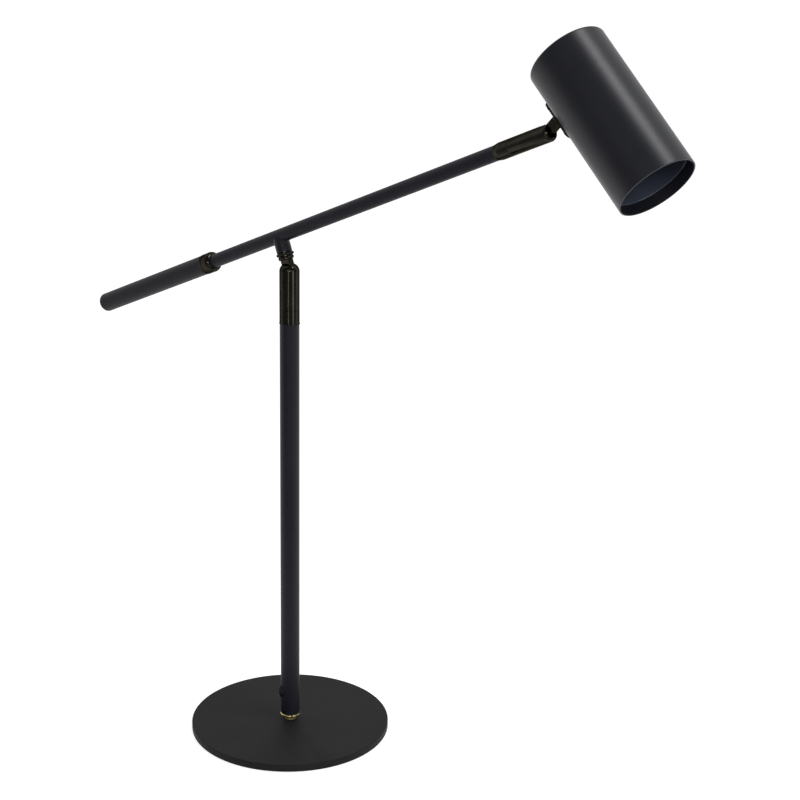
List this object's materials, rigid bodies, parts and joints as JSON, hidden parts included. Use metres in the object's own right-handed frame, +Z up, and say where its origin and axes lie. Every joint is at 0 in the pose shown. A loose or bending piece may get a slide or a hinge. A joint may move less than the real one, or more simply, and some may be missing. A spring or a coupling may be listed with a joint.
{
  "type": "desk lamp",
  "caption": "Black balance desk lamp: round base, stem, tilting arm with a counterweight, and a round spot shade on a swivel head.",
  "frame": {"origin": "centre of the base's underside, on the surface the lamp stands on", "axes": "+Z up along the stem; +X horizontal under the arm, towards the shade; +Y completes the right-handed frame"},
  "size_m": [0.7428, 0.2, 0.7322],
  "materials": {
    "foam_pad": "matte",
    "black_powder_coat": "satin",
    "black_rubber": "matte",
    "zinc_steel": "satin",
    "polished_brass": "polished",
    "black_plastic": "satin",
    "black_nickel": "polished",
    "shade_powder_coat": "satin",
    "satin_black_sleeve": "satin",
    "white_ceramic": "satin",
    "bulb_body": "satin",
    "bulb_glass": "gloss"
  },
  "bodies": {
    "base": {"base_pad": "foam_pad", "base_plate": "black_powder_coat", "cord_bush": "black_rubber", "base_lock_washer": "zinc_steel", "base_nut": "zinc_steel", "base_nipple": "zinc_steel", "brass_spacer": "polished_brass", "brass_seat_ring": "polished_brass", "stem_plug": "zinc_steel", "stem_tube": "black_powder_coat", "switch_body": "black_plastic", "switch_bezel": "black_plastic", "stem_joint_ring": "black_nickel"},
    "switch_button": {"switch_button": "black_plastic"},
    "stem_swivel_head": {"stem_joint_body": "black_nickel", "stem_swivel_post": "zinc_steel", "stem_swivel_nut": "zinc_steel", "stem_swivel_washer": "zinc_steel", "arm_hinge_pin": "black_nickel", "arm_hinge_washers": "zinc_steel"},
    "arm": {"arm_knuckle": "black_nickel", "knuckle_collar": "black_nickel", "branch_tube": "black_powder_coat", "arm_tube": "black_powder_coat", "counterweight": "black_powder_coat", "counterweight_grub_screw": "black_nickel", "counterweight_collar": "black_nickel", "head_joint_ring": "black_nickel"},
    "head_swivel_body": {"head_joint_body": "black_nickel", "head_swivel_post": "zinc_steel", "head_swivel_nut": "zinc_steel", "head_swivel_washer": "zinc_steel", "head_hinge_pin": "black_nickel", "head_hinge_washers": "zinc_steel"},
    "shade_head": {"head_knuckle": "black_nickel", "saddle_plate": "black_nickel", "saddle_screws": "black_nickel", "shade": "shade_powder_coat", "inner_sleeve": "satin_black_sleeve", "holder_bracket": "zinc_steel", "lamp_holder": "white_ceramic", "holder_screws": "zinc_steel", "bulb": "bulb_body", "bulb_lens": "bulb_glass"}
  },
  "joints": [
    {"name": "stem_swivel", "type": "hinge", "parent": "base", "child": "stem_swivel_head", "pos_m": [0, 0, 0.44], "axis": [0, 0, 1], "range_deg": [-170, 170]},
    {"name": "arm_tilt", "type": "hinge", "parent": "stem_swivel_head", "child": "arm", "pos_m": [0, 0, 0.478], "axis": [0, -1, 0], "range_deg": [-22.8, 37.2]},
    {"name": "head_swivel", "type": "hinge", "parent": "arm", "child": "head_swivel_body", "pos_m": [0.30971, 0, 0.64442], "axis": [0.9219, 0, 0.3875], "range_deg": [-167, 173]},
    {"name": "head_tilt", "type": "hinge", "parent": "head_swivel_body", "child": "shade_head", "pos_m": [0.30971, 0, 0.64442], "axis": [0.0199, 0.9987, -0.0474], "range_deg": [-65.1, 24.9]},
    {"name": "switch_push", "type": "slide", "parent": "base", "child": "switch_button", "axis": [0.6428, 0.766, 0], "range_m": [0, 0.0008], "stiffness_N_per_m": 1500, "springref_m": -0.0004}
  ]
}
